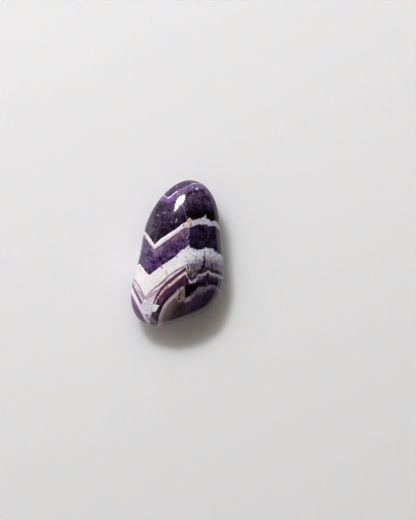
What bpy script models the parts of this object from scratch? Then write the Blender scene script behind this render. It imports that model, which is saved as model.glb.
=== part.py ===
"""Tumbled chevron amethyst: one pebble of banded quartz, worn round in a tumbler and polished.

Metres, +Z up. The pebble lies on its flattest side. The origin is on the surface that it
rests on, under the middle of its box. +Y points to the narrow end, +X to the flank that
the narrow end leans towards.
"""

import math

import bmesh
import bpy
import numpy as np
from mathutils import Vector

MM = 0.001

# The pebble measured from above, in millimetres from the middle of its box: the widest
# outline, anticlockwise from the middle of the right flank.
RIM_POINTS = [
    (11.9, 0.8), (11.5, 6.0), (10.6, 11.3), (9.0, 15.9), (6.1, 18.5), (2.6, 19.15),
    (-0.6, 17.7), (-3.3, 15.6), (-5.9, 12.5), (-7.3, 9.9), (-8.45, 6.3), (-9.4, 2.0),
    (-10.5, -2.9), (-11.5, -7.1), (-12.15, -11.3), (-11.8, -14.6), (-10.5, -16.9),
    (-8.4, -18.5), (-5.0, -19.15), (-1.9, -18.6), (3.3, -17.1), (7.3, -15.2),
    (10.5, -12.2), (12.0, -8.2), (12.2, -3.4),
]
RIM_WAVES = 6  # waves round the outline: enough for its corners, too few for a kink

# The pebble's heart in plan, under the crown, and the oval that its outline is drawn from,
# in millimetres: an ellipse about the heart, which leans over by LEAN for each one of +Y.
HEART = (0.0, -2.0)
HALF_WIDTH = 12.2
HALF_LENGTH = 19.2
LEAN = 0.15

# The pebble seen from the side, in millimetres.
THICKNESS = 12.5  # from the surface that it lies on to the crown
CROWN = 6.3  # from the widest outline up to the crown
KEEL = 6.7  # from the widest outline down, before the resting face was worn flat
ROUNDING = 2.45  # 2 is an ellipse from the side; more is squarer

# Broad faces of the rough piece that tumbling only rounded off. Each has the bearing that
# it faces, anticlockwise from +X, its tilt from straight up, both in degrees, and how far
# it lies below the fullest skin, in millimetres.
WORN_FACES = [
    (-2.0, 39.0, 0.60),
    (168.0, 51.0, 0.60),
    (122.0, 22.0, 0.20),
    (-120.0, 43.0, 0.55),
    (12.0, 132.0, 0.50),
    (-118.0, 136.0, 0.60),
    (118.0, 130.0, 0.40),
]
WEAR = 14.0  # how tightly the skin turns from one worn face to the next

# Small faces that stayed flat: a cleaved spot near the wide end, in two steps. Each has the
# place on the crown where it lies and how deep it is cut there, in millimetres.
CLEAVED_FACES = [
    ((-7.9, -14.4), 0.18),
    ((-5.9, -14.3), 0.07),
]

SKIN_SUBDIVISIONS = 5  # of the ball that the skin is drawn over
SURVEY_SUBDIVISIONS = 6  # of the ball that finds the fullest skin
PROBE = 0.01  # step, in millimetres, over which the skin's slope is felt
NEAREST = 0.0001  # how closely a point on the skin is found, in millimetres
MERGE = 0.02 * MM  # cuts leave no edge shorter than this
SHARP_TURN = math.radians(20)  # an edge that turns by more than this isn't shaded round


def clear_scene():
    """Removes whatever the scene starts with."""
    for obj in list(bpy.data.objects):
        bpy.data.objects.remove(obj, do_unlink=True)


def ball_directions(subdivisions):
    """Unit vectors spread evenly in all directions."""
    bm = bmesh.new()
    bmesh.ops.create_icosphere(bm, subdivisions=subdivisions, radius=1.0)
    directions = np.array([vert.co.normalized() for vert in bm.verts])
    bm.free()
    return directions


def wave_terms(directions):
    """The waves of the outline, one row for each direction. They fade out towards the poles."""
    turn = directions[:, 0] + 1j * directions[:, 1]
    terms = [np.ones(len(directions))]
    for wave in range(1, RIM_WAVES + 1):
        terms.append((turn ** wave).real)
        terms.append((turn ** wave).imag)
    return np.stack(terms, axis=-1)


def unleaned(points):
    """Places measured from the heart, upright and in units of the oval and the heights."""
    x, y, z = points.T
    half_height = np.where(z > 0, CROWN, KEEL)
    return np.stack([(x - LEAN * y) / HALF_WIDTH, y / HALF_LENGTH, z / half_height], axis=-1)


def rim_weights():
    """The share of each wave that carries the outline smoothly through its measured points."""
    points = unleaned(np.array([(x - HEART[0], y - HEART[1], 0.0) for x, y in RIM_POINTS]))
    radius = np.linalg.norm(points, axis=1)
    return np.linalg.lstsq(wave_terms(points / radius[:, None]), radius, rcond=None)[0]


def facing(bearing, tilt):
    """The unit vector at a bearing from +X and a tilt from straight up, both in degrees."""
    bearing, tilt = math.radians(bearing), math.radians(tilt)
    level = math.sin(tilt)
    return np.array([level * math.cos(bearing), level * math.sin(bearing), math.cos(tilt)])


def fullest_gauge(points):
    """Each point's distance from the heart as a share of the unworn skin's distance there."""
    oval = unleaned(points)
    rim = wave_terms(oval / np.linalg.norm(oval, axis=1)[:, None]) @ rim_weights()
    x, y, z = oval.T
    return ((np.hypot(x, y) / rim) ** ROUNDING + np.abs(z) ** ROUNDING) ** (1 / ROUNDING)


def worn_faces():
    """The direction and the distance from the heart of each worn face, in millimetres."""
    ball = ball_directions(SURVEY_SUBDIVISIONS)
    skin = ball / fullest_gauge(ball)[:, None]
    faces = []
    for bearing, tilt, bite in WORN_FACES:
        normal = facing(bearing, tilt)
        faces.append((normal, (skin @ normal).max() - bite))
    return faces


def worn_gauge(points, faces):
    """The same share for the skin with every worn face rounded into it."""
    total = fullest_gauge(points) ** WEAR
    for normal, distance in faces:
        total += np.maximum(0, points @ normal / distance) ** WEAR
    return total ** (1 / WEAR)


def gauge(points, faces):
    """The share for the finished skin: 1 on it, less inside and more outside.

    The worn faces draw the widest outline in a little, so it is let out again as measured.
    """
    bearing = np.arctan2(points[:, 1], points[:, 0])
    level = np.stack([np.cos(bearing), np.sin(bearing), np.zeros_like(bearing)], axis=-1)
    let_out = fullest_gauge(level) / worn_gauge(level, faces)
    sideways = np.stack([let_out, let_out, np.ones_like(let_out)], axis=-1)
    return worn_gauge(points * sideways, faces)


def crown_point(x, y, faces):
    """The point of the upper skin over a place in plan, measured from the heart."""
    x, y = x - HEART[0], y - HEART[1]
    low, high = 0.0, CROWN
    while high - low > NEAREST:
        middle = (low + high) / 2
        if gauge(np.array([[x, y, middle]]), faces)[0] < 1:
            low = middle
        else:
            high = middle
    return np.array([x, y, low])


def skin_normal(point, faces):
    """The unit vector straight out of the skin at a point on it."""
    steps = np.eye(3) * PROBE
    slope = gauge(point + steps, faces) - gauge(point - steps, faces)
    return slope / np.linalg.norm(slope)


def grind(bm, point, normal):
    """Cuts the pebble flat at a plane and closes the cut with one face."""
    everything = bm.verts[:] + bm.edges[:] + bm.faces[:]
    cut = bmesh.ops.bisect_plane(
        bm, geom=everything, dist=MERGE, plane_co=point, plane_no=normal, clear_outer=True
    )
    rim = [item for item in cut["geom_cut"] if isinstance(item, bmesh.types.BMEdge)]
    for vert in {vert for edge in rim for vert in edge.verts}:
        vert.co -= normal * (vert.co - point).dot(normal)
    bmesh.ops.contextual_create(bm, geom=rim)
    bmesh.ops.remove_doubles(bm, verts=bm.verts[:], dist=MERGE)


def set_down(bm):
    """Moves the pebble so that the origin is on its resting face, under the middle of its box."""
    places = np.array([vert.co for vert in bm.verts])
    middle = (places.min(axis=0) + places.max(axis=0)) / 2
    lowest = places[:, 2].min()
    bmesh.ops.translate(bm, verts=bm.verts[:], vec=(-middle[0], -middle[1], -lowest))


def polished_amethyst():
    """Deep violet banded quartz with a wet-looking polish."""
    material = bpy.data.materials.new("polished_amethyst")
    material.use_nodes = True
    shader = material.node_tree.nodes["Principled BSDF"]
    shader.inputs["Base Color"].default_value = (0.070, 0.036, 0.105, 1.0)
    shader.inputs["Roughness"].default_value = 0.06
    shader.inputs["Metallic"].default_value = 0.0
    shader.inputs["IOR"].default_value = 1.544
    return material


def pebble():
    """The whole stone: a ball drawn out to the pebble's skin, then ground where it is flat."""
    faces = worn_faces()
    bm = bmesh.new()
    bmesh.ops.create_icosphere(bm, subdivisions=SKIN_SUBDIVISIONS, radius=1.0)
    directions = np.array([vert.co.normalized() for vert in bm.verts])
    skin = directions / gauge(directions, faces)[:, None] * MM
    for vert, place in zip(bm.verts, skin):
        vert.co = place

    for (x, y), depth in CLEAVED_FACES:
        point = crown_point(x, y, faces)
        normal = skin_normal(point, faces)
        grind(bm, Vector(point - normal * depth) * MM, Vector(normal))
    grind(bm, Vector((0, 0, CROWN - THICKNESS)) * MM, Vector((0, 0, -1)))
    set_down(bm)
    bmesh.ops.recalc_face_normals(bm, faces=bm.faces[:])

    mesh = bpy.data.meshes.new("tumbled_amethyst")
    bm.to_mesh(mesh)
    bm.free()
    mesh.shade_smooth()
    mesh.set_sharp_from_angle(angle=SHARP_TURN)
    mesh.materials.append(polished_amethyst())
    stone = bpy.data.objects.new("tumbled_amethyst", mesh)
    bpy.context.scene.collection.objects.link(stone)
    return stone


clear_scene()
pebble()
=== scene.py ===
"""Chevron amethyst, tumbled and polished, seen from straight above on a pale floor.

The scene is in metres, +Z up. The stone's own sizes and patterns are in millimetres.
"""

import math

import bmesh
import bpy
import numpy as np
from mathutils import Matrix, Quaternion, Vector


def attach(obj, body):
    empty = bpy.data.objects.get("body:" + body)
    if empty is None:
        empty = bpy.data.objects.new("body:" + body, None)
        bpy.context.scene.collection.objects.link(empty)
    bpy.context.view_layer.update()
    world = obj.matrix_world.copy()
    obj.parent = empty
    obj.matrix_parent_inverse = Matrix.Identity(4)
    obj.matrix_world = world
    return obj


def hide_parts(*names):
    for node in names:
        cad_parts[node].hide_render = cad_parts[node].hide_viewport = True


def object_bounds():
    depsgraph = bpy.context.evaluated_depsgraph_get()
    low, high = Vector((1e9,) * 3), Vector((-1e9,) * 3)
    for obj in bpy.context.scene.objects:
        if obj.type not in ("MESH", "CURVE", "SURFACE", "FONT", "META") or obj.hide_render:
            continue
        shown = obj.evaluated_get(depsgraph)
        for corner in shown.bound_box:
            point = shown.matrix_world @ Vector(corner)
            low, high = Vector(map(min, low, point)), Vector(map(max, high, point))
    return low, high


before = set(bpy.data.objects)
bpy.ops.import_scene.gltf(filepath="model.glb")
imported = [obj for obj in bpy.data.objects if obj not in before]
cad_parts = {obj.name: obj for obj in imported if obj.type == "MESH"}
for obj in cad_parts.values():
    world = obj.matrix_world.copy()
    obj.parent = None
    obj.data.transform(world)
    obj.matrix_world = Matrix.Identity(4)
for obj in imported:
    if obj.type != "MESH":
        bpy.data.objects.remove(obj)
cad_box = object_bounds()

# Camera
# It looks straight down from so far that the stone shows no perspective. The view's width is
# measured at the level of the stone's widest outline, and the stone lies a little left of
# its middle. Colours are shown as they come, with no film curve.
CAMERA_HEIGHT = 0.80
VIEW_WIDTH = 0.1095
VIEW_CENTRE = (0.00805, -0.00187)
OUTLINE_LEVEL = 0.0062
SENSOR_MM = 36.0
NEAREST_SEEN = 0.01

camera = bpy.data.cameras.new("camera")
camera.sensor_fit = "HORIZONTAL"
camera.sensor_width = SENSOR_MM
camera.lens = SENSOR_MM * (CAMERA_HEIGHT - OUTLINE_LEVEL) / VIEW_WIDTH
camera.clip_start = NEAREST_SEEN
camera_stand = bpy.data.objects.new("camera", camera)
camera_stand.location = (*VIEW_CENTRE, CAMERA_HEIGHT)
bpy.context.scene.collection.objects.link(camera_stand)
bpy.context.scene.camera = camera_stand
bpy.context.scene.view_settings.view_transform = "Standard"

# Light
# A small panel stands high beyond the narrow end, a little to the left, with a much smaller
# one at its corner, so that their reflection tapers. A wide one overhead only softens the
# shadow and leaves no reflection. The dim room is darkest overhead and to the right, so the
# polish stays clear and deep.
PANEL_DISTANCE = 1.0
PANEL_ZENITH = math.radians(41.4)
PANEL_BEARING = math.radians(113.0)
PANEL_ROLL = math.radians(-15.0)
# Each panel's name, its place aside and up on the plane that faces the stone, and its size.
PANELS = [
    ("panel", (0.0, -0.017), (0.165, 0.086)),
    ("corner_panel", (0.065, 0.036), (0.034, 0.034)),
]
PANEL_WATTS_PER_AREA = 640.0
WIDE_PANEL_HEIGHT = 1.2
WIDE_PANEL_SIZE = 1.6
WIDE_PANEL_WATTS = 2.3
WIDE_PANEL_COLOUR = (1.0, 0.88, 0.70)
# How bright the room is, from level with the stone (0) to straight overhead (1).
ROOM_STOPS = [(0.0, 0.30), (0.35, 0.40), (0.62, 0.22), (0.80, 0.05), (1.0, 0.03)]
BRIGHT_SIDE = (-1.0, 0.1, 0.0)
DARKEST_FROM = -0.5
DARK_SIDE_SHARE = 0.10

toward_panel = Vector((
    math.sin(PANEL_ZENITH) * math.cos(PANEL_BEARING),
    math.sin(PANEL_ZENITH) * math.sin(PANEL_BEARING),
    math.cos(PANEL_ZENITH),
))
facing_stone = toward_panel.to_track_quat("Z", "Y") @ Quaternion((0, 0, 1), PANEL_ROLL)
for name, (aside, up), (panel_width, panel_height) in PANELS:
    panel = bpy.data.lights.new(name, "AREA")
    panel.shape = "RECTANGLE"
    panel.size, panel.size_y = panel_width, panel_height
    panel.energy = PANEL_WATTS_PER_AREA * panel_width * panel_height
    panel_stand = bpy.data.objects.new(name, panel)
    offset = facing_stone @ Vector((aside, up, 0.0))
    panel_stand.location = toward_panel * PANEL_DISTANCE + offset
    panel_stand.rotation_euler = facing_stone.to_euler()
    bpy.context.scene.collection.objects.link(panel_stand)

wide_panel = bpy.data.lights.new("wide_panel", "AREA")
wide_panel.size = WIDE_PANEL_SIZE
wide_panel.energy = WIDE_PANEL_WATTS
wide_panel.color = WIDE_PANEL_COLOUR
wide_panel_stand = bpy.data.objects.new("wide_panel", wide_panel)
wide_panel_stand.location = (0.0, 0.0, WIDE_PANEL_HEIGHT)
wide_panel_stand.visible_glossy = False
bpy.context.scene.collection.objects.link(wide_panel_stand)


def add(kind, inputs=(), out=0, **settings):
    """Adds a node to the tree in hand, fills or joins its inputs and gives one output.

    stops are a colour ramp's places and colours, and points a curve's places. A Mix node's
    sockets share their names, so they go by number: 0 is the share, 2 and 3 are the numbers
    that it mixes, 4 and 5 the vectors, 6 and 7 the colours.
    """
    node = tree.nodes.new(kind)
    for name, value in settings.items():
        if name == "stops":
            while len(node.color_ramp.elements) < len(value):
                node.color_ramp.elements.new(1.0)
            for element, (place, colour) in zip(node.color_ramp.elements, value):
                element.position = place
                element.color = colour
        elif name == "points":
            curve = node.mapping.curves[0]
            while len(curve.points) < len(value):
                curve.points.new(1.0, 1.0)
            for point, (along, height) in zip(curve.points, value):
                point.location = (along, height)
                point.handle_type = "VECTOR"
            node.mapping.update()
        else:
            setattr(node, name, value)
    for key, value in dict(inputs).items():
        if isinstance(value, bpy.types.NodeSocket):
            tree.links.new(value, node.inputs[key])
        else:
            node.inputs[key].default_value = value
    return node.outputs[out]


room = bpy.data.worlds.new("room")
room.use_nodes = True
bpy.context.scene.world = room
tree = room.node_tree
tree.nodes.clear()
direction = add("ShaderNodeTexCoord", out="Generated")
upward = add("ShaderNodeSeparateXYZ", {0: direction}, out="Z")
glow = add(
    "ShaderNodeValToRGB", {0: upward},
    stops=[(stop, (grey, grey, grey, 1.0)) for stop, grey in ROOM_STOPS],
)
brightward = add(
    "ShaderNodeVectorMath", {0: direction, 1: BRIGHT_SIDE}, operation="DOT_PRODUCT", out="Value"
)
side_share = add(
    "ShaderNodeMapRange",
    {
        "Value": brightward, "From Min": DARKEST_FROM, "From Max": 1.0,
        "To Min": DARK_SIDE_SHARE,
    },
)
light = add("ShaderNodeBackground", {"Color": glow, "Strength": side_share})
world_output = tree.nodes.new("ShaderNodeOutputWorld")
tree.links.new(light, world_output.inputs["Surface"])


def linear(code):
    """A colour in sRGB hex as Blender's linear numbers."""
    parts = [int(code[i:i + 2], 16) / 255 for i in (1, 3, 5)]
    return (*[p / 12.92 if p <= 0.04045 else ((p + 0.055) / 1.055) ** 2.4 for p in parts], 1.0)


# Floor
# A plain pale board of matt opal acrylic under the stone. It gives the eye no gloss. Light
# spreads about a centimetre inside it, red light furthest, so the shadow ends softly and
# stays a little warm.
FLOOR_SIZE = 1.5
FLOOR_COLOUR = "#EDEDEF"
FLOOR_ROUGHNESS = 0.9
FLOOR_GLOSS = 0.2
FLOOR_BLUR = 0.0110
FLOOR_BLUR_SHARES = (1.0, 0.92, 0.80)  # of red, green and blue light

bm = bmesh.new()
bmesh.ops.create_grid(bm, x_segments=1, y_segments=1, size=FLOOR_SIZE / 2)
floor_mesh = bpy.data.meshes.new("floor")
bm.to_mesh(floor_mesh)
bm.free()
floor = bpy.data.objects.new("floor", floor_mesh)
bpy.context.scene.collection.objects.link(floor)
matt_board = bpy.data.materials.new("matt_board")
matt_board.use_nodes = True
board_shader = matt_board.node_tree.nodes["Principled BSDF"]
board_shader.inputs["Base Color"].default_value = linear(FLOOR_COLOUR)
board_shader.inputs["Roughness"].default_value = FLOOR_ROUGHNESS
board_shader.inputs["Specular IOR Level"].default_value = FLOOR_GLOSS
board_shader.inputs["Subsurface Weight"].default_value = 1.0
board_shader.inputs["Subsurface Radius"].default_value = FLOOR_BLUR_SHARES
board_shader.inputs["Subsurface Scale"].default_value = FLOOR_BLUR
floor_mesh.materials.append(matt_board)

# Stone
# One pebble of amethyst, the violet quartz, grown in zigzag bands of violet and milky
# white crystal. It was tumbled with ever finer grit until it took a wet-looking polish.
MM = 0.001

# Its widest outline from above, in millimetres from the middle of its box, and the heights
# over and under that outline. These are the same as in the solid that it replaces.
RIM_POINTS = [
    (11.9, 0.8), (11.5, 6.0), (10.6, 11.3), (9.0, 15.9), (6.1, 18.5), (2.6, 19.15),
    (-0.6, 17.7), (-3.3, 15.6), (-5.9, 12.5), (-7.3, 9.9), (-8.45, 6.3), (-9.4, 2.0),
    (-10.5, -2.9), (-11.5, -7.1), (-12.15, -11.3), (-11.8, -14.6), (-10.5, -16.9),
    (-8.4, -18.5), (-5.0, -19.15), (-1.9, -18.6), (3.3, -17.1), (7.3, -15.2),
    (10.5, -12.2), (12.0, -8.2), (12.2, -3.4),
]
RIM_WAVES = 6
HEART = (0.0, -2.0)  # under the crown, in plan
HALF_WIDTH = 12.2
HALF_LENGTH = 19.2
LEAN = 0.15  # of the oval towards +X for each one of +Y
THICKNESS = 12.5
CROWN = 6.3  # over the widest outline
KEEL = 6.7  # under it, before the resting face was worn flat
ROUNDING = 2.45  # 2 is an ellipse from the side; more is squarer

# The broad faces that tumbling rounded off: the bearing, the tilt from straight up and how
# deep each one bites. WEAR is how tightly the skin turns from one to the next.
WORN_FACES = [
    (-2.0, 39.0, 0.60),
    (168.0, 51.0, 0.60),
    (122.0, 22.0, 0.20),
    (-120.0, 43.0, 0.55),
    (12.0, 132.0, 0.50),
    (-118.0, 136.0, 0.60),
    (118.0, 130.0, 0.40),
]
WEAR = 14.0

# The cleaved spot near the wide end, in two steps: where each lies and how deep it is cut.
CLEAVED_FACES = [
    ((-7.9, -14.4), 0.18),
    ((-5.9, -14.3), 0.07),
]
SURVEY_SUBDIVISIONS = 6  # of the ball that finds the fullest skin
PROBE = 0.01  # the step over which the skin's slope is felt
NEAREST = 0.0001  # how closely a point on the skin is found
MERGE = 0.005  # cuts leave no edge shorter than this

# The mesh of the skin: fine all over, and finer within a radius of the cleaved spot, and
# twice over of the rusty crack.
SKIN_SUBDIVISIONS = 7
FINER_SPOTS = [((-7.4, -14.6), 4.2), ((6.9, -3.7), 2.2), ((6.9, -3.7), 1.8)]

# Hollows that tumbling didn't reach, the rusty crack and a pit: the place, half length, half
# width, turn in degrees and depth.
HOLLOWS = [
    ((6.95, -3.7), 1.5, 0.42, 82.0, 0.13),
    ((-8.05, -16.35), 0.38, 0.28, 20.0, 0.16),
]


def wave_terms(directions):
    """The waves of the outline, one row for each direction. They fade out towards the poles."""
    turn = directions[:, 0] + 1j * directions[:, 1]
    terms = [np.ones(len(directions))]
    for wave in range(1, RIM_WAVES + 1):
        terms.append((turn ** wave).real)
        terms.append((turn ** wave).imag)
    return np.stack(terms, axis=-1)


def unleaned(points):
    """Places measured from the heart, upright and in units of the oval and the heights."""
    x, y, z = points.T
    half_height = np.where(z > 0, CROWN, KEEL)
    return np.stack([(x - LEAN * y) / HALF_WIDTH, y / HALF_LENGTH, z / half_height], axis=-1)


def rim_weights():
    """The share of each wave that carries the outline smoothly through its measured points."""
    points = unleaned(np.array([(x - HEART[0], y - HEART[1], 0.0) for x, y in RIM_POINTS]))
    radius = np.linalg.norm(points, axis=1)
    return np.linalg.lstsq(wave_terms(points / radius[:, None]), radius, rcond=None)[0]


def facing(bearing, tilt):
    """The unit vector at a bearing from +X and a tilt from straight up, both in degrees."""
    bearing, tilt = math.radians(bearing), math.radians(tilt)
    level = math.sin(tilt)
    return np.array([level * math.cos(bearing), level * math.sin(bearing), math.cos(tilt)])


def fullest_gauge(points):
    """Each point's distance from the heart as a share of the unworn skin's distance there."""
    oval = unleaned(points)
    rim = wave_terms(oval / np.linalg.norm(oval, axis=1)[:, None]) @ outline
    x, y, z = oval.T
    return ((np.hypot(x, y) / rim) ** ROUNDING + np.abs(z) ** ROUNDING) ** (1 / ROUNDING)


def worn_gauge(points):
    """The same share for the skin with every worn face rounded into it."""
    total = fullest_gauge(points) ** WEAR
    for normal, distance in worn_faces:
        total += np.maximum(0, points @ normal / distance) ** WEAR
    return total ** (1 / WEAR)


def gauge(points):
    """The share for the finished skin: 1 on it, less inside and more outside."""
    bearing = np.arctan2(points[:, 1], points[:, 0])
    level = np.stack([np.cos(bearing), np.sin(bearing), np.zeros_like(bearing)], axis=-1)
    let_out = fullest_gauge(level) / worn_gauge(level)
    sideways = np.stack([let_out, let_out, np.ones_like(let_out)], axis=-1)
    return worn_gauge(points * sideways)


def crown_point(x, y):
    """The point of the upper skin over a place in plan, measured from the heart."""
    x, y = x - HEART[0], y - HEART[1]
    low, high = 0.0, CROWN
    while high - low > NEAREST:
        middle = (low + high) / 2
        if gauge(np.array([[x, y, middle]]))[0] < 1:
            low = middle
        else:
            high = middle
    return np.array([x, y, low])


def skin_normal(point):
    """The unit vector straight out of the skin at a point on it."""
    steps = np.eye(3) * PROBE
    slope = gauge(point + steps) - gauge(point - steps)
    return slope / np.linalg.norm(slope)


def draw_out(bm):
    """Moves every point of a ball along its own direction onto the skin."""
    directions = np.array([vert.co.normalized() for vert in bm.verts])
    for vert, place in zip(bm.verts, directions / gauge(directions)[:, None]):
        vert.co = place


def grind(bm, point, normal, crisp):
    """Presses all that stands over a plane flat onto it, keeping the mesh as fine as it was."""
    everything = bm.verts[:] + bm.edges[:] + bm.faces[:]
    cut = bmesh.ops.bisect_plane(
        bm, geom=everything, dist=MERGE, plane_co=point, plane_no=normal
    )
    for vert in bm.verts:
        above = (vert.co - point).dot(normal)
        if above > 0:
            vert.co -= normal * above
    for item in cut["geom_cut"]:
        if isinstance(item, bmesh.types.BMEdge) and crisp:
            item.smooth = False


outline = rim_weights()
survey = bmesh.new()
bmesh.ops.create_icosphere(survey, subdivisions=SURVEY_SUBDIVISIONS, radius=1.0)
ball = np.array([vert.co.normalized() for vert in survey.verts])
survey.free()
fullest = ball / fullest_gauge(ball)[:, None]
worn_faces = []
for bearing, tilt, bite in WORN_FACES:
    normal = facing(bearing, tilt)
    worn_faces.append((normal, (fullest @ normal).max() - bite))

bm = bmesh.new()
bmesh.ops.create_icosphere(bm, subdivisions=SKIN_SUBDIVISIONS, radius=1.0)
draw_out(bm)
for (x, y), radius in FINER_SPOTS:
    middle = Vector((x - HEART[0], y - HEART[1]))
    near = [
        edge for edge in bm.edges
        if all(vert.co.z > 0 and (vert.co.xy - middle).length < radius for vert in edge.verts)
    ]
    bmesh.ops.subdivide_edges(bm, edges=near, cuts=1, use_grid_fill=True)
    draw_out(bm)
bm.normal_update()
for face in bm.faces:
    face.smooth = True

for (x, y), length, width, turn, depth in HOLLOWS:
    middle = Vector((x - HEART[0], y - HEART[1]))
    cosine, sine = math.cos(math.radians(turn)), math.sin(math.radians(turn))
    for vert in bm.verts:
        offset = vert.co.xy - middle
        lengthwise = (offset.x * cosine + offset.y * sine) / length
        sidewise = (offset.y * cosine - offset.x * sine) / width
        outwards = lengthwise ** 2 + sidewise ** 2
        if vert.co.z > 0 and outwards < 1:
            vert.co -= vert.normal * depth * (1 - outwards) ** 2

for (x, y), depth in CLEAVED_FACES:
    point = crown_point(x, y)
    normal = skin_normal(point)
    grind(bm, Vector(point - normal * depth), Vector(normal), crisp=True)
grind(bm, Vector((0, 0, CROWN - THICKNESS)), Vector((0, 0, -1)), crisp=False)

# The finer skin bulges a hair past the solid's flat facets, so it is drawn in to its box.
places = np.array([vert.co for vert in bm.verts])
lowest, highest = places.min(axis=0), places.max(axis=0)
cad_low, cad_high = np.array(cad_box[0]), np.array(cad_box[1])
box_middle = (lowest + highest) / 2
bmesh.ops.translate(bm, verts=bm.verts[:], vec=(-box_middle[0], -box_middle[1], -lowest[2]))
bmesh.ops.scale(bm, verts=bm.verts[:], vec=Vector((cad_high - cad_low) / (highest - lowest)))
bmesh.ops.recalc_face_normals(bm, faces=bm.faces[:])
stone_mesh = bpy.data.meshes.new("tumbled_stone")
bm.to_mesh(stone_mesh)
bm.free()
stone = bpy.data.objects.new("tumbled_stone", stone_mesh)
bpy.context.scene.collection.objects.link(stone)

# The lines where one band of growth ends and the next begins, from the cap at the narrow
# end to the core at the wide end. Each is followed from the left flank to the right one, in
# millimetres from the middle of the box.
FRONTS = {
    "cap": [
        (-5.9, 16.0), (-4.6, 15.2), (-3.4, 15.1), (-2.5, 14.3), (-1.4, 15.0), (-0.4, 15.9),
        (0.7, 16.4), (2.0, 17.2), (3.3, 17.9), (4.6, 18.3), (5.9, 18.3), (7.3, 18.5),
        (9.1, 19.1), (12.3, 19.7),
    ],
    "first white": [
        (-12.2, 10.0), (-10.4, 8.1), (-8.4, 5.5), (-7.7, 4.7), (-5.9, 2.2), (-4.6, 3.4),
        (-3.3, 4.3), (-1.9, 5.2), (-0.6, 6.0), (0.7, 7.0), (1.5, 7.7), (2.3, 8.0), (2.8, 8.7),
        (3.3, 9.2), (3.6, 8.7), (4.1, 8.4), (4.9, 8.7), (5.9, 8.8), (6.7, 9.2), (7.3, 9.7),
        (7.5, 9.2), (8.3, 8.7), (8.8, 8.0), (9.4, 8.4), (10.2, 8.3), (10.7, 7.7), (11.2, 7.1),
        (11.5, 6.6), (12.3, 4.7),
    ],
    "violet": [
        (-12.2, 8.7), (-10.4, 6.7), (-8.7, 4.4), (-7.7, 3.0), (-6.9, 1.9), (-6.0, 0.9),
        (-4.6, 1.8), (-3.3, 2.8), (-1.9, 3.8), (-0.6, 4.7), (0.7, 5.7), (1.5, 6.3), (2.3, 6.6),
        (3.3, 6.7), (4.1, 6.9), (4.9, 7.3), (5.9, 7.5), (7.0, 7.5), (7.8, 7.3), (8.3, 7.1),
        (8.8, 6.9), (9.4, 7.0), (10.2, 6.8), (10.7, 6.4), (11.3, 5.8), (12.3, 3.9),
    ],
    "second white": [
        (-12.2, -1.1), (-10.5, -3.1), (-9.8, -2.9), (-9.3, -3.6), (-8.5, -4.6), (-7.5, -5.9),
        (-5.9, -4.8), (-4.6, -3.7), (-3.3, -2.9), (-1.9, -2.0), (-0.6, -1.1), (0.2, -0.2),
        (0.9, 0.6), (1.7, 0.9), (2.3, 1.2), (2.8, 1.8), (3.1, 2.1), (3.6, 1.2), (4.4, 0.8),
        (5.9, 0.8), (7.0, 0.9), (7.5, 1.5), (7.8, 1.2), (8.6, 1.2), (9.4, 1.1), (9.6, 0.5),
        (10.4, -0.0), (11.2, -0.3), (12.0, -0.8),
    ],
    "mauve": [
        (-12.2, -5.8), (-11.3, -6.9), (-10.6, -7.8), (-9.8, -9.0), (-9.1, -10.4), (-8.3, -11.7),
        (-7.2, -10.3), (-5.9, -9.1), (-4.6, -8.1), (-3.3, -6.9), (-2.5, -6.1), (-1.4, -5.3),
        (-0.4, -4.6), (0.7, -4.0), (2.0, -3.3), (3.3, -2.8), (4.6, -2.7), (5.9, -2.5),
        (7.3, -2.1), (8.1, -2.0), (9.1, -2.4), (10.2, -2.8), (12.0, -3.2),
    ],
    "plum": [
        (-12.2, -8.6), (-11.7, -9.5), (-10.9, -11.1), (-9.8, -13.2), (-9.4, -14.0),
        (-8.3, -16.1), (-7.2, -16.9), (-6.7, -15.6), (-5.8, -13.1), (-5.4, -12.1),
        (-4.8, -11.3), (-4.3, -10.6), (-3.5, -9.6), (-2.7, -8.8), (-1.9, -8.3), (-1.2, -7.7),
        (-0.4, -7.0), (0.7, -6.2), (1.7, -5.4), (2.3, -5.0), (2.5, -5.8), (2.8, -6.6),
        (3.3, -7.5), (3.8, -7.7), (4.6, -7.4), (5.0, -6.9), (5.3, -6.2), (5.7, -5.7),
        (6.5, -5.8), (7.0, -5.7), (7.5, -5.2), (8.1, -4.8), (8.6, -5.2), (9.4, -5.6),
        (10.2, -5.8), (11.2, -6.2), (12.1, -6.7),
    ],
    "core": [
        (-12.2, -19.2), (-5.4, -19.5), (-5.0, -18.2), (-4.8, -16.6), (-4.3, -15.3),
        (-3.8, -14.1), (-3.0, -12.9), (-1.9, -11.7), (-0.6, -10.6), (0.7, -9.4), (1.7, -8.6),
        (1.9, -12.0), (2.8, -11.5), (3.6, -11.1), (4.4, -10.2), (5.2, -9.2), (5.7, -9.0),
        (6.7, -8.8), (7.5, -9.0), (7.8, -8.4), (8.6, -8.3), (9.6, -8.3), (10.4, -8.7),
        (11.2, -9.5), (12.3, -11.1),
    ],
}
# Two lines run the length of the stone, as (place along it, place across it): the axis that
# the bands fold on, and the healed crack between the straight-grown and the ragged part.
FOLD_AXIS = [
    (-19.0, -7.2), (-16.9, -7.2), (-11.7, -8.3), (-5.9, -7.5), (1.5, -6.0), (14.3, -2.5),
    (19.0, -1.0),
]
FAULT = [
    (-19.0, 3.6), (-8.4, 3.3), (-2.4, 3.3), (1.8, 3.05), (6.6, 3.05), (9.2, 2.5),
    (10.8, 2.0), (12.3, 1.5), (13.1, 0.95), (15.0, 0.2), (19.0, -0.5),
]

# The stretch of plan that the curves of these lines cover.
LOW_X, HIGH_X = -12.5, 12.5
LOW_Y, HIGH_Y = -20.0, 20.0

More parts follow.
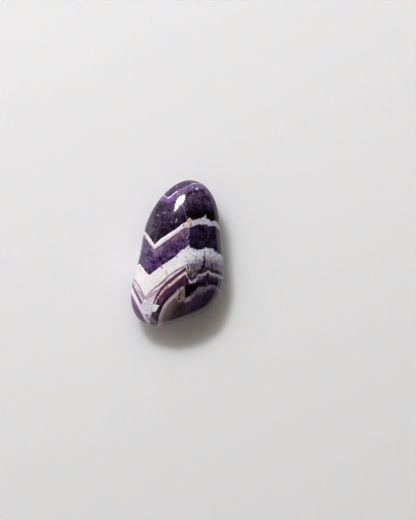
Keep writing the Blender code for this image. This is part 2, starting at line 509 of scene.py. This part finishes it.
# What grew after each front: where it starts and ends in millimetres past the front and how
# softly, its colours on the folded arm, on the left and on the ragged right, what mottles
# it, and how dark the mottling goes. None is where it didn't grow. Specks only dot a colour
# over what is there, so they have no darkness.
END = 99.0  # further than the stone reaches, so no start or end
GROWTH = [
    ("cap", -END, END, 0.1, "#5C4466", "#583F60", "#5C4866", "streak", 0.55),
    ("cap", 0.0, END, 0.1, "#624A6C", "#614676", "#684A76", "cloud", 0.08),
    ("cap", 0.0, END, 0.1, "#8A70A0", "#9C80B8", "#7A5480", "speck", None),
    ("first white", -3.4, END, 3.4, None, "#3C2646", "#150B1C", "cloud", 0.08),
    ("cap", 0.0, 1.5, 1.0, "#8270A0", "#8A66A6", "#7E6894", "fleck", 0.40),
    ("cap", -0.20, 0.18, 0.1, "#C0A8CC", "#EAD6F1", "#A896B8", "fleck", 0.75),
    ("first white", 0.0, END, 0.12, "#EAE8EC", "#F4F4FA", "#CAC6D6", "milk", 0.60),
    ("violet", 0.0, END, 0.12, "#7C5A96", "#724F8C", "#3A2D4C", "cloud", 0.08),
    ("violet", 0.0, 1.9, 1.8, "#80608A", "#A07CA2", None, "cloud", 0.34),
    ("violet", 0.0, END, 0.1, "#9A80B4", "#9878B8", None, "speck", None),
    ("second white", 0.0, END, 0.15, "#F2EEF0", "#F4F1F3", "#DEE1EF", "milk", 0.64),
    ("mauve", -1.1, END, 1.5, None, None, "#AAA6BC", "milk", 0.42),
    ("mauve", 0.0, END, 0.3, "#F2E2EC", "#EAD6EC", "#80748E", "streak", 0.32),
    ("mauve", 0.1, END, 0.2, None, "#946E98", None, "speck", None),
    ("mauve", -0.12, 0.22, 0.25, "#8A6F8A", "#94808C", None, "streak", 0.7),
    ("plum", -1.35, -0.2, 0.30, "#74527A", "#5F3C56", "#3A2C38", "streak", 0.5),
    ("plum", 0.0, END, 0.1, "#8C6098", "#5E3A5A", "#463A52", "streak", 0.30),
    ("plum", 0.3, END, 0.3, None, "#7E5878", None, "speck", None),
    ("plum", 0.0, 1.9, 0.7, "#F6EEFC", None, None, "milk", 0.80),
    ("core", -1.6, 0.0, 1.0, None, "#38263A", "#180E1C", "streak", 0.5),
    ("plum", -0.32, 0.50, 0.20, None, "#F2D8D4", "#C0B8C6", "fleck", 0.42),
    ("core", 0.0, END, 0.15, "#35252C", "#483440", "#2E2436", "streak", 0.35),
    ("core", 0.0, 1.2, 0.6, "#A28C92", "#BCA6AC", "#766C84", "streak", 0.55),
    ("core", -0.4, -0.05, 0.12, None, "#180D14", "#0E0810", "streak", 0.9),
]

# The mottling's values that count as darkest and as palest, and the share of green that its
# dark parts keep: violet quartz gets more violet as it darkens. BRIGHTEST is how far its
# palest parts go past the band's own colour.
CONTRAST = {
    "cloud": (0.44, 0.645, 0.82), "fleck": (0.36, 0.60, 0.84), "streak": (0.37, 0.59, 0.80),
    "milk": (0.36, 0.60, 0.96),
}
BRIGHTEST = 1.05

# Flat-sided spots, seen from above: the corners anticlockwise, how softly they end, the
# colour inside and that of a rim, with the rim's width, the strength and the roughness. On the
# two cleaved faces the near-white inside is pale frosted quartz with painted reflection in it,
# and the white rims are painted highlight.
SPOTS = [
    (
        [
            (1.79, -8.71), (1.89, -12.13), (3.32, -11.29), (5.16, -9.37), (5.16, -7.53),
            (2.79, -8.18),
        ],
        0.25, "#070306", "#070306", 0.1, 0.95, 0.08,
    ),
    (
        [(-0.37, -11.74), (0.42, -12.79), (1.89, -12.53), (1.82, -8.84), (0.82, -9.63)],
        0.3, "#766A6B", "#9A8C8C", 0.25, 0.9, 0.12,
    ),
    # The cleaved faces: frosted pale quartz brightened to white as painted reflection, with
    # white rims that are painted highlight.
    (
        [(-9.68, -13.97), (-8.26, -16.55), (-7.05, -16.39), (-6.53, -13.24), (-8.63, -12.13)],
        0.06, "#EEEEFA", "#FFFFFF", 0.28, 1.0, 0.30,
    ),
    (
        [(-6.45, -13.29), (-6.79, -15.29), (-5.74, -15.45), (-4.68, -13.76)],
        0.06, "#FFFFFF", "#FFFFFF", 0.2, 1.0, 0.30,
    ),
]

# Stains and dark flecks, with painted glints, a painted highlight and a painted reflection
# among
# them: the place, half length and half width in millimetres, the turn in degrees, how softly
# they end, the colour and its strength.
STAINS_AND_PAINTED_LIGHT = [
    ((2.79, 7.47), 1.5, 0.9, 42, 0.8, "#D2B4A8", 0.75),
    ((1.68, 7.24), 0.85, 0.36, 62, 0.5, "#8A6A5E", 0.85),
    ((3.11, 8.21), 1.0, 0.40, 15, 0.4, "#B98A74", 0.95),
    ((3.55, 7.13), 0.9, 0.46, 75, 0.5, "#74584A", 0.9),
    ((2.00, 6.37), 0.9, 0.28, 38, 0.5, "#7E5E54", 0.8),
    ((1.63, 5.76), 0.4, 0.22, 30, 0.5, "#8A6450", 0.6),
    ((3.37, 8.71), 0.5, 0.26, 80, 0.5, "#BCA09A", 0.8),
    ((-8.39, 4.45), 0.45, 0.3, 40, 0.4, "#C07048", 0.9),
    ((-2.87, 2.74), 0.3, 0.2, 40, 0.5, "#A87868", 0.7),
    ((0.42, 5.37), 0.7, 0.2, 35, 0.6, "#B08E8C", 0.6),
    ((5.16, 7.47), 0.5, 0.22, 160, 0.5, "#6E6478", 0.7),
    ((7.79, 7.39), 0.4, 0.28, 20, 0.5, "#5E5468", 0.7),
    ((9.24, 7.47), 0.35, 0.3, 70, 0.5, "#746C80", 0.7),
    ((6.08, 8.39), 0.3, 0.2, 10, 0.5, "#8A6E64", 0.7),
    ((4.89, -0.95), 0.5, 0.3, 20, 0.5, "#6A6272", 0.7),
    ((8.45, -0.29), 0.45, 0.22, 70, 0.5, "#5E5666", 0.7),
    ((9.50, -1.34), 0.6, 0.25, 15, 0.5, "#6E6676", 0.6),
    ((5.82, 0.24), 0.3, 0.16, 60, 0.5, "#9A8074", 0.6),
    ((5.03, -1.87), 1.6, 0.4, 5, 0.7, "#7A7284", 0.6),
    ((-0.89, 4.05), 0.5, 0.3, 35, 0.3, "#8A4A38", 0.9),
    ((-4.05, -3.71), 0.8, 0.45, 120, 0.7, "#AE7A5E", 0.85),
    ((-2.74, -5.29), 1.4, 0.45, 100, 0.8, "#CF9A7C", 0.7),
    ((-5.37, -7.66), 2.6, 0.4, 45, 0.9, "#E6C8B4", 0.6),
    ((-0.11, -0.95), 0.5, 0.3, 60, 0.5, "#8E6A58", 0.85),
    ((0.95, 0.24), 0.4, 0.26, 40, 0.5, "#A87C64", 0.8),
    ((-9.71, -4.50), 1.6, 0.45, 95, 0.8, "#E3BBA8", 0.75),
    ((-8.26, -7.13), 1.2, 0.4, 70, 0.9, "#E4CBBE", 0.6),
    ((2.97, 1.16), 0.75, 0.45, 70, 0.7, "#B89478", 0.85),
    ((3.37, -0.29), 0.7, 0.26, 100, 0.6, "#A8826A", 0.75),
    ((2.26, -1.08), 0.8, 0.3, 20, 0.7, "#C2A490", 0.7),
    ((2.26, -2.13), 0.9, 0.3, 45, 0.5, "#B49C98", 0.7),
    ((7.21, -0.16), 1.5, 0.28, 92, 0.4, "#9A5F44", 0.8),
    ((7.16, -1.34), 1.0, 0.30, 86, 0.3, "#54301F", 0.95),
    ((7.05, -2.53), 1.0, 0.42, 78, 0.3, "#1C0F0C", 1.0),
    ((6.68, -3.71), 1.1, 0.60, 65, 0.3, "#1C0F0C", 1.0),
    ((6.03, -4.76), 1.2, 0.45, 25, 0.3, "#22130F", 1.0),
    ((7.42, -4.11), 0.8, 0.28, 105, 0.3, "#2C1A16", 0.95),
    ((7.61, -2.13), 0.6, 0.16, 80, 0.3, "#8A5238", 0.8),
    ((6.11, -3.32), 0.5, 0.16, 80, 0.3, "#7A4632", 0.7),
    ((7.66, -5.03), 0.7, 0.34, 30, 0.3, "#B07858", 0.7),
    ((5.42, -5.95), 0.7, 0.26, 50, 0.3, "#B08268", 0.75),
    ((4.11, -3.71), 2.2, 1.1, 10, 0.9, "#584E56", 0.8),
    ((3.32, -5.68), 1.5, 0.8, 80, 0.5, "#2C2224", 0.9),
    ((4.76, -4.89), 1.2, 0.4, 30, 0.5, "#3A2E30", 0.8),
    ((2.58, -7.26), 1.7, 0.8, 78, 0.7, "#160D12", 1.0),
    ((2.87, -3.97), 1.7, 0.3, 95, 0.4, "#2E2428", 0.9),
    ((-4.11, -12.26), 1.3, 0.6, 60, 0.8, "#7A5E68", 0.7),
    ((1.08, -6.03), 1.5, 0.3, 38, 0.5, "#ECDCE0", 0.9),
    ((1.89, -5.42), 0.5, 0.3, 38, 0.5, "#F0E6EA", 0.9),
    ((3.84, -8.71), 1.7, 0.7, 5, 0.4, "#0C0709", 0.95),
    ((2.58, -12.21), 1.5, 0.7, 25, 0.9, "#5A5058", 0.85),
    ((-5.24, -12.00), 0.46, 0.34, 60, 0.3, "#C06A44", 0.95),
    ((-4.58, -11.08), 0.40, 0.32, 50, 0.3, "#B86A4C", 0.95),
    ((-4.00, -10.37), 0.26, 0.22, 50, 0.3, "#D8A890", 0.9),
    ((-3.37, -9.71), 0.46, 0.34, 50, 0.3, "#C2724C", 0.95),
    ((-2.61, -8.79), 0.44, 0.34, 45, 0.3, "#BC6C46", 0.95),
    ((-1.55, -7.92), 0.44, 0.28, 40, 0.3, "#C98C74", 0.9),
    ((-0.42, -7.00), 0.34, 0.24, 40, 0.3, "#C09080", 0.85),
    # Painted glints: pale dots and short streaks where light glints off grains inside the
    # quartz. The bluish-white one and the faint one beside it are a painted highlight.
    ((-5.03, 9.84), 0.24, 0.2, 0, 0.3, "#B8A8A0", 1.0),
    ((-3.39, 10.50), 0.6, 0.16, 15, 0.3, "#B08C94", 1.0),
    ((-0.29, 8.39), 0.95, 0.15, 66, 0.3, "#A8A2B0", 0.9),
    ((4.24, 15.50), 0.25, 0.2, 30, 0.3, "#B080A0", 0.9),
    ((5.29, 16.95), 0.6, 0.45, 60, 0.6, "#B4B8E0", 1.0),
    ((3.97, 17.34), 0.5, 0.35, 60, 0.7, "#A09CCB", 0.9),
    ((-1.55, 8.00), 0.22, 0.2, 0, 0.3, "#8088B8", 0.9),
    ((2.61, 4.05), 0.7, 0.15, 58, 0.3, "#C0A0BC", 0.9),
    ((7.26, 9.58), 0.35, 0.25, 90, 0.3, "#B8BEBC", 0.9),
    ((7.92, -6.21), 0.9, 0.5, 60, 0.4, "#140C14", 0.9),
    ((7.74, -8.18), 0.9, 0.15, 85, 0.3, "#7E7884", 0.7),
    ((5.95, -10.42), 3.4, 1.3, 12, 1.0, "#645A6A", 0.7),
    ((0.95, -14.24), 3.4, 1.6, 40, 1.0, "#1A1016", 0.8),
    ((4.11, -13.18), 4.2, 1.3, 40, 1.0, "#4C305C", 0.75),
    # Painted reflection: a grey-mauve streak along the bottom edge, where the polish mirrors
    # the floor.
    ((3.32, -16.47), 6.5, 1.5, 22, 1.0, "#64545E", 0.7),
    ((9.11, -10.82), 1.8, 1.2, 80, 1.0, "#382E40", 0.7),
    ((6.08, -6.47), 1.4, 0.9, 30, 0.8, "#6E647A", 0.8),
    ((9.63, -6.29), 2.2, 0.55, -10, 0.9, "#7E768A", 0.6),
    ((9.63, -7.26), 1.8, 0.6, -5, 1.0, "#3C2C50", 0.6),
    ((0.42, -12.05), 0.6, 0.3, 78, 0.3, "#0A0402", 1.0),
    ((0.68, -10.87), 0.6, 0.26, 80, 0.3, "#2A2020", 0.9),
    ((1.47, -11.61), 0.4, 0.25, 30, 0.3, "#8A8474", 0.9),
    ((0.29, -10.95), 0.3, 0.2, 30, 0.3, "#2A2220", 0.9),
    ((1.16, -9.13), 0.7, 0.32, 55, 0.5, "#A49CAA", 0.9),
    ((1.53, -10.68), 1.6, 0.32, 88, 0.6, "#5E5658", 0.8),
    ((0.21, -10.42), 0.7, 0.3, 50, 0.6, "#A08A82", 0.8),
    ((0.82, -9.97), 0.55, 0.34, 60, 0.4, "#383436", 0.7),
    ((1.11, -11.74), 0.6, 0.3, 70, 0.6, "#7E7676", 0.8),
    ((-0.11, -9.89), 1.2, 0.2, 48, 0.4, "#9C8280", 0.7),
    ((-4.63, -14.76), 1.9, 0.5, 62, 0.3, "#1C191C", 1.0),
    ((-5.37, -16.87), 1.3, 0.4, 72, 0.3, "#28242A", 0.9),
    ((-6.55, -17.66), 1.6, 1.0, -35, 0.5, "#9A869A", 0.85),
    ((-7.74, -17.39), 0.7, 0.5, -40, 0.4, "#C4BAC8", 0.9),
    ((-8.00, -16.50), 0.36, 0.28, 20, 0.3, "#171216", 1.0),
]
STAIN_AND_PAINTED_LIGHT_DEPTH = 2.0

# The material is tumble-polished amethyst. It gives the eye a wet, glassy shine over deep
# violet clouds and milky bands, and a duller face where the stone split and wasn't worn.
POLISH = 0.08
QUARTZ_IOR = 1.544

# Cells to a millimetre in each noise. The quartz's real grains and fibres are 0.1 to 0.3 mm
# across. They are drawn about 0.5 mm across, because finer ones don't show in the render.
CELLS = {
    "wander": 0.14, "teeth": 1.5, "cloud": 0.60, "crystals": 2.4, "fleck": 1.9, "speck": 2.0,
    "milk": 1.1,
}

# The same for the streaks, across the stone, past the front and upwards.
STREAKS_LEFT = (0.40, 2.0, 0.40)
STREAKS_RIGHT = (1.7, 0.45, 0.22)

# In millimetres: the levels between which the bands bend away, how far they wander and shift
# at the lower one, how far the crystals' ends reach on the left and on the ragged right, and
# how gradually the parts change over.
WIDEST_LEVEL, LOWEST_LEVEL = 6.5, 0.5
WANDER = (9.0, 9.0, 0.0)
SHIFT = (-1.2, -4.0, 0.0)
TEETH_LEFT, TEETH_RIGHT = 0.45, 1.5
FOLD_FADE = 0.15
FAULT_FADE, FAULT_WOBBLE = 0.2, 0.9
MILKY_FADE, MILKY_WOBBLE = (-1.6, 1.3), 3.0

# How much the crystals differ from each other, where a speck starts and is full and how
# strong it is, and the milk's middle value and its coarseness on the left and the right.
CRYSTAL_TINT = 0.08
SPECK_EDGE, SPECK_STRENGTH = (0.58, 0.74), 0.8
MILK_MIDDLE, MILK_COARSENESS = 0.56, (0.35, 1.1)

polished_amethyst = bpy.data.materials.new("polished_amethyst")
polished_amethyst.use_nodes = True
tree = polished_amethyst.node_tree
tree.nodes.clear()

metres = add("ShaderNodeTexCoord", out="Object")
place = add("ShaderNodeVectorMath", {0: metres, 1: [1 / MM] * 3}, operation="MULTIPLY")
height = add("ShaderNodeSeparateXYZ", {0: place}, out="Z")

# Below the widest outline the bands bend away and wander.
below = add(
    "ShaderNodeMapRange",
    {"Value": height, "From Min": WIDEST_LEVEL, "From Max": LOWEST_LEVEL},
    interpolation_type="SMOOTHSTEP",
)
wander = add(
    "ShaderNodeTexNoise",
    {"Vector": place, "Scale": CELLS["wander"], "Detail": 2.0, "Roughness": 0.5}, out="Color",
)
wander = add("ShaderNodeVectorMath", {0: wander, 1: (0.5, 0.5, 0.5)}, operation="SUBTRACT")
wander = add(
    "ShaderNodeVectorMath", {0: wander, 1: WANDER, 2: SHIFT}, operation="MULTIPLY_ADD"
)
wander = add("ShaderNodeVectorMath", {0: wander, "Scale": below}, operation="SCALE")
bent = add("ShaderNodeVectorMath", {0: place, 1: wander}, operation="ADD")

# How the crystals' ends break up each edge between bands.
bent_x = add("ShaderNodeSeparateXYZ", {0: bent}, out="X")
bent_y = bent_x.node.outputs["Y"]
teeth = add(
    "ShaderNodeTexNoise",
    {"Vector": place, "Scale": CELLS["teeth"], "Detail": 4.0, "Roughness": 0.65}, out="Color",
)
teeth = add("ShaderNodeVectorMath", {0: teeth, 1: (0.5, 0.5, 0.5)}, operation="SUBTRACT")
wobble = add("ShaderNodeSeparateXYZ", {0: teeth}, out="X")

# Which part a place is in: 0 on the folded arm, a half on the left, 1 on the ragged right.
# The milky bands change over more gradually than the violet ones.
along = add("ShaderNodeMapRange", {"Value": bent_y, "From Min": LOW_Y, "From Max": HIGH_Y})
beyond = {}
for name, line in (("fold", FOLD_AXIS), ("fault", FAULT)):
    line_x = add(
        "ShaderNodeFloatCurve", {"Value": along},
        points=[
            ((y - LOW_Y) / (HIGH_Y - LOW_Y), (x - LOW_X) / (HIGH_X - LOW_X)) for y, x in line
        ],
    )
    line_x = add("ShaderNodeMapRange", {"Value": line_x, "To Min": LOW_X, "To Max": HIGH_X})
    beyond[name] = add("ShaderNodeMath", {0: bent_x, 1: line_x}, operation="SUBTRACT")
beyond["fault"] = add(
    "ShaderNodeMath", {0: wobble, 1: FAULT_WOBBLE, 2: beyond["fault"]}, operation="MULTIPLY_ADD"
)
folded = add(
    "ShaderNodeMapRange",
    {"Value": beyond["fold"], "From Min": -FOLD_FADE, "From Max": FOLD_FADE},
)
ragged = add(
    "ShaderNodeMapRange",
    {"Value": beyond["fault"], "From Min": -FAULT_FADE, "From Max": FAULT_FADE},
)
milky = add(
    "ShaderNodeMath", {0: wobble, 1: MILKY_WOBBLE, 2: beyond["fault"]}, operation="MULTIPLY_ADD"
)
milky = add(
    "ShaderNodeMapRange",
    {"Value": milky, "From Min": MILKY_FADE[0], "From Max": MILKY_FADE[1]},
)
side = add("ShaderNodeMath", {0: folded, 1: ragged}, operation="ADD")
side = add("ShaderNodeMath", {0: side, 1: 0.5}, operation="MULTIPLY")
milky_side = add("ShaderNodeMath", {0: folded, 1: milky}, operation="ADD")
milky_side = add("ShaderNodeMath", {0: milky_side, 1: 0.5}, operation="MULTIPLY")

# The growth fronts are straight on the left and toothed on the right.
reach = add(
    "ShaderNodeMapRange", {"Value": ragged, "To Min": TEETH_LEFT, "To Max": TEETH_RIGHT}
)
teeth = add("ShaderNodeVectorMath", {0: teeth, "Scale": reach}, operation="SCALE")
toothed = add("ShaderNodeVectorMath", {0: bent, 1: teeth}, operation="ADD")
toothed_x = add("ShaderNodeSeparateXYZ", {0: toothed}, out="X")
toothed_y = toothed_x.node.outputs["Y"]
across = add(
    "ShaderNodeMapRange", {"Value": toothed_x, "From Min": LOW_X, "From Max": HIGH_X}
)

# How far past each front a place is, in millimetres towards the wide end, and the streaks
# there: along the band on the left, and across it, as the crystals grew, on the right.
past, streaks = {}, {}
stretch = add(
    "ShaderNodeMix", {0: ragged, 4: STREAKS_LEFT, 5: STREAKS_RIGHT}, out=1, data_type="VECTOR"
)
for front, line in FRONTS.items():
    level = add(
        "ShaderNodeFloatCurve", {"Value": across},
        points=[
            ((x - LOW_X) / (HIGH_X - LOW_X), (y - LOW_Y) / (HIGH_Y - LOW_Y)) for x, y in line
        ],
    )
    level = add("ShaderNodeMapRange", {"Value": level, "To Min": LOW_Y, "To Max": HIGH_Y})
    past[front] = add("ShaderNodeMath", {0: level, 1: toothed_y}, operation="SUBTRACT")
    run = add("ShaderNodeCombineXYZ", {"X": toothed_x, "Y": past[front], "Z": height})
    run = add("ShaderNodeVectorMath", {0: run, 1: stretch}, operation="MULTIPLY")
    streaks[front] = add(
        "ShaderNodeTexNoise", {"Vector": run, "Scale": 1.0, "Detail": 4.0, "Roughness": 0.70}
    )

# The violet quartz is mottled: clouds of colour, and crystals that each took their own.
cloud = add(
    "ShaderNodeTexNoise",
    {"Vector": place, "Scale": CELLS["cloud"], "Detail": 5.0, "Roughness": 0.86},
)
crystals = add(
    "ShaderNodeTexVoronoi", {"Vector": toothed, "Scale": CELLS["crystals"]}, out="Color"
)
crystals = add("ShaderNodeSeparateColor", {0: crystals})
crystals = add(
    "ShaderNodeMath", {0: crystals, 1: CRYSTAL_TINT, 2: -CRYSTAL_TINT / 2},
    operation="MULTIPLY_ADD",
)
cloud = add("ShaderNodeMath", {0: cloud, 1: crystals}, operation="ADD")
fleck = add(
    "ShaderNodeTexNoise",
    {"Vector": place, "Scale": CELLS["fleck"], "Detail": 5.0, "Roughness": 0.65},
)
speck = add(
    "ShaderNodeTexNoise",
    {"Vector": bent, "Scale": CELLS["speck"], "Detail": 4.0, "Roughness": 0.75},
)
speck = add(
    "ShaderNodeMapRange",
    {
        "Value": speck, "From Min": SPECK_EDGE[0], "From Max": SPECK_EDGE[1],
        "To Max": SPECK_STRENGTH,
    },
)

# The milky quartz is cloudy on the left and coarser on the right.
milk = add(
    "ShaderNodeTexNoise",
    {"Vector": toothed, "Scale": CELLS["milk"], "Detail": 6.0, "Roughness": 0.7},
)
coarseness = add(
    "ShaderNodeMapRange",
    {"Value": milky, "To Min": MILK_COARSENESS[0], "To Max": MILK_COARSENESS[1]},
)
milk = add("ShaderNodeMath", {0: milk, 1: MILK_MIDDLE}, operation="SUBTRACT")
milk = add(
    "ShaderNodeMath", {0: milk, 1: coarseness, 2: MILK_MIDDLE}, operation="MULTIPLY_ADD"
)

# Each growth is laid over the ones before it.
mottling = {"cloud": cloud, "fleck": fleck, "milk": milk}
colour = (0.0, 0.0, 0.0, 1.0)
for front, start, end, fade, arm, left, right, grain, dark in GROWTH:
    codes = [arm, left, right]
    shown = [code for code in codes if code]
    hue = add(
        "ShaderNodeValToRGB", {0: milky_side if grain == "milk" else side},
        stops=[
            (0.5 * k, (*linear(code or shown[0])[:3], 1.0 if code else 0.0))
            for k, code in enumerate(codes)
        ],
    )
    share = hue.node.outputs["Alpha"]
    if grain == "speck":
        share = add("ShaderNodeMath", {0: share, 1: speck}, operation="MULTIPLY")
        shaded = hue
    else:
        darkest, palest, green = CONTRAST[grain]
        shade = add(
            "ShaderNodeMapRange",
            {
                "Value": mottling.get(grain) or streaks[front], "From Min": darkest,
                "From Max": palest,
            },
        )
        shade = add(
            "ShaderNodeMix",
            {0: shade, 6: (dark, dark * green, dark, 1.0), 7: (*[BRIGHTEST] * 3, 1.0)}, out=2,
            data_type="RGBA",
        )
        shaded = add(
            "ShaderNodeMix", {0: 1.0, 6: hue, 7: shade}, out=2, data_type="RGBA",
            blend_type="MULTIPLY",
        )
    if start > -END:
        rise = add(
            "ShaderNodeMapRange",
            {"Value": past[front], "From Min": start - fade / 2, "From Max": start + fade / 2},
        )
        share = add("ShaderNodeMath", {0: share, 1: rise}, operation="MULTIPLY")
    if end < END:
        fall = add(
            "ShaderNodeMapRange",
            {"Value": past[front], "From Min": end + fade / 2, "From Max": end - fade / 2},
        )
        share = add("ShaderNodeMath", {0: share, 1: fall}, operation="MULTIPLY")
    colour = add("ShaderNodeMix", {0: share, 6: colour, 7: shaded}, out=2, data_type="RGBA")

# Thin pale shells round the core, about 0.7 mm apart and seen along its left side, with a
# paler one outermost. They are ovals, so a place is told by its share of the way out.
SHELL_MIDDLE = (4.9, -18.2, 0.0)
SHELL_REACH = (9.7, 9.5, 1000.0)  # the last keeps the shells upright all through the stone
SHELL_COUNT = 13.0
SHELL_STRENGTH = 0.85
SHELL_COLOURS = ("#AE948E", "#CCBAC0")
SHELL_EDGE = (0.45, 0.55)  # the noise's values between which a shell begins
OUTERMOST_SHELL = (0.88, 0.97)  # the shares between which it begins
SHELLS_START = (0.62, 0.92)  # the shares between which the shells do
SHELLS_SIDE = (1.5, -2.0)  # in millimetres across: where they start to show and where in full
CORE_EDGE = 0.2  # in millimetres past the core's front, over which they come in
outward = add(
    "ShaderNodeMapping", {"Vector": toothed, "Location": SHELL_MIDDLE, "Scale": SHELL_REACH},
    vector_type="TEXTURE",
)
outward = add("ShaderNodeVectorMath", {0: outward}, operation="LENGTH", out="Value")
shells = add("ShaderNodeMath", {0: outward, 1: SHELL_COUNT}, operation="MULTIPLY")
shells = add("ShaderNodeTexNoise", {"W": shells, "Detail": 2.0}, noise_dimensions="1D")
shells = add(
    "ShaderNodeMapRange",
    {"Value": shells, "From Min": SHELL_EDGE[0], "From Max": SHELL_EDGE[1]},
)
outermost = add(
    "ShaderNodeMapRange",
    {"Value": outward, "From Min": OUTERMOST_SHELL[0], "From Max": OUTERMOST_SHELL[1]},
)
shells = add("ShaderNodeMath", {0: shells, 1: outermost}, operation="MAXIMUM")
flank = add(
    "ShaderNodeMapRange",
    {"Value": outward, "From Min": SHELLS_START[0], "From Max": SHELLS_START[1]},
)
leftward = add(
    "ShaderNodeMapRange",
    {"Value": bent_x, "From Min": SHELLS_SIDE[0], "From Max": SHELLS_SIDE[1]},
)
inside = add("ShaderNodeMapRange", {"Value": past["core"], "From Max": CORE_EDGE})
for limit in (flank, leftward, inside, SHELL_STRENGTH):
    shells = add("ShaderNodeMath", {0: shells, 1: limit}, operation="MULTIPLY")
shell_hue = add(
    "ShaderNodeMix",
    {0: outermost, 6: linear(SHELL_COLOURS[0]), 7: linear(SHELL_COLOURS[1])}, out=2,
    data_type="RGBA",
)
colour = add("ShaderNodeMix", {0: shells, 6: colour, 7: shell_hue}, out=2, data_type="RGBA")

# The healed crack shows as a thin pale line in the dark quartz, broken by flecks, up to the
# second white band. Its half width is in millimetres, from where it fades to where it is
# full.
SEAM_HALF_WIDTH = (0.20, 0.04)
SEAM_END = 0.3
SEAM_COLOUR = "#A58CA8"
SEAM_STRENGTH = 0.75
SEAM_PATCHES = (0.44, 0.58)  # the flecks' values between which it shows
seam = add("ShaderNodeMath", {0: beyond["fault"]}, operation="ABSOLUTE")
seam = add(
    "ShaderNodeMapRange",
    {"Value": seam, "From Min": SEAM_HALF_WIDTH[0], "From Max": SEAM_HALF_WIDTH[1]},
)
seam_end = add(
    "ShaderNodeMapRange",
    {"Value": past["second white"], "From Min": SEAM_END, "From Max": -SEAM_END},
)
seam = add("ShaderNodeMath", {0: seam, 1: seam_end}, operation="MULTIPLY")
patchy = add(
    "ShaderNodeMapRange",
    {
        "Value": fleck, "From Min": SEAM_PATCHES[0], "From Max": SEAM_PATCHES[1],
        "To Max": SEAM_STRENGTH,
    },
)
seam = add("ShaderNodeMath", {0: seam, 1: patchy}, operation="MULTIPLY")
colour = add(
    "ShaderNodeMix", {0: seam, 6: colour, 7: linear(SEAM_COLOUR)}, out=2, data_type="RGBA"
)

# Only the upper side carries the spots and stains, and the painted light listed with the
# stains.
UPPER_FROM, UPPER_FULL = 5.0, 6.0
SPOT_DARKEST = 0.65
upper = add(
    "ShaderNodeMapRange", {"Value": height, "From Min": UPPER_FROM, "From Max": UPPER_FULL}
)
level_x = add("ShaderNodeSeparateXYZ", {0: place}, out="X")
level_y = level_x.node.outputs["Y"]
level_place = add("ShaderNodeCombineXYZ", {"X": level_x, "Y": level_y, "Z": 1.0})
roughness = POLISH
for corners, fade, core_code, rim_code, rim, strength, spot_roughness in SPOTS:
    depth_in = None
    for (x, y), (next_x, next_y) in zip(corners, corners[1:] + corners[:1]):
        side_length = math.hypot(next_x - x, next_y - y)
        inward = ((y - next_y) / side_length, (next_x - x) / side_length)
        off = add(
            "ShaderNodeVectorMath",
            {0: level_place, 1: (*inward, -(inward[0] * x + inward[1] * y))},
            operation="DOT_PRODUCT", out="Value",
        )
        depth_in = off if depth_in is None else add(
            "ShaderNodeMath", {0: depth_in, 1: off}, operation="MINIMUM"
        )
    share = add(
        "ShaderNodeMapRange",
        {"Value": depth_in, "From Min": -fade, "From Max": fade, "To Max": strength},
    )
    share = add("ShaderNodeMath", {0: share, 1: upper}, operation="MULTIPLY")
    towards_middle = add(
        "ShaderNodeMapRange", {"Value": depth_in, "From Min": rim * 0.5, "From Max": rim * 1.5}
    )
    hue = add(
        "ShaderNodeMix", {0: towards_middle, 6: linear(rim_code), 7: linear(core_code)}, out=2,
        data_type="RGBA",
    )
    darkest, palest, _ = CONTRAST["fleck"]
    shade = add("ShaderNodeMapRange", {"Value": fleck, "From Min": darkest, "From Max": palest})
    shade = add(
        "ShaderNodeMix",
        {0: shade, 6: (*[SPOT_DARKEST] * 3, 1.0), 7: (*[BRIGHTEST] * 3, 1.0)}, out=2,
        data_type="RGBA",
    )
    shaded = add(
        "ShaderNodeMix", {0: 1.0, 6: hue, 7: shade}, out=2, data_type="RGBA",
        blend_type="MULTIPLY",
    )
    colour = add("ShaderNodeMix", {0: share, 6: colour, 7: shaded}, out=2, data_type="RGBA")
    roughness = add("ShaderNodeMix", {0: share, 2: roughness, 3: spot_roughness})

# The stains crept in between the crystals, so the grain of the quartz frays their edges and
# its streaks shift them; the painted glints, highlight and reflection listed with them are
# frayed and shifted the same way. Each one starts where the frayed value passes the start
# level below.
CREEP = 0.6
FRAY, FRAY_START = 2.8, -0.4
STAIN_AND_PAINTED_LIGHT_START, STAIN_AND_PAINTED_LIGHT_FULL = 0.12, 0.05
crumbling = add("ShaderNodeMath", {0: fleck, 1: FRAY, 2: FRAY_START}, operation="MULTIPLY_ADD")
creep = add(
    "ShaderNodeMath", {0: streaks["mauve"], 1: CREEP, 2: -CREEP / 2}, operation="MULTIPLY_ADD"
)
crept = add("ShaderNodeVectorMath", {0: toothed, 1: creep}, operation="ADD")
for (x, y), length, width, turn, softness, code, strength in STAINS_AND_PAINTED_LIGHT:
    spot = add(
        "ShaderNodeMapping",
        {
            "Vector": crept, "Location": (x, y, crown_point(x, y)[2] + THICKNESS - CROWN),
            "Rotation": (0.0, 0.0, math.radians(turn)), "Scale": (length, width, STAIN_AND_PAINTED_LIGHT_DEPTH),
        },
        vector_type="TEXTURE",
    )
    spot = add("ShaderNodeTexGradient", {"Vector": spot}, gradient_type="SPHERICAL", out="Fac")
    spot = add("ShaderNodeMath", {0: spot, 1: crumbling}, operation="MULTIPLY")
    spot = add(
        "ShaderNodeMapRange",
        {
            "Value": spot, "From Min": STAIN_AND_PAINTED_LIGHT_START, "From Max": STAIN_AND_PAINTED_LIGHT_FULL + softness,
            "To Max": strength,
        },
    )
    colour = add(
        "ShaderNodeMix", {0: spot, 6: colour, 7: linear(code)}, out=2, data_type="RGBA"
    )

shader = tree.nodes.new("ShaderNodeBsdfPrincipled")
tree.links.new(colour, shader.inputs["Base Color"])
tree.links.new(roughness, shader.inputs["Roughness"])
shader.inputs["IOR"].default_value = QUARTZ_IOR
stone_output = tree.nodes.new("ShaderNodeOutputMaterial")
tree.links.new(shader.outputs[0], stone_output.inputs["Surface"])
stone_mesh.materials.append(polished_amethyst)

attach(stone, "root")
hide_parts("tumbled_amethyst")
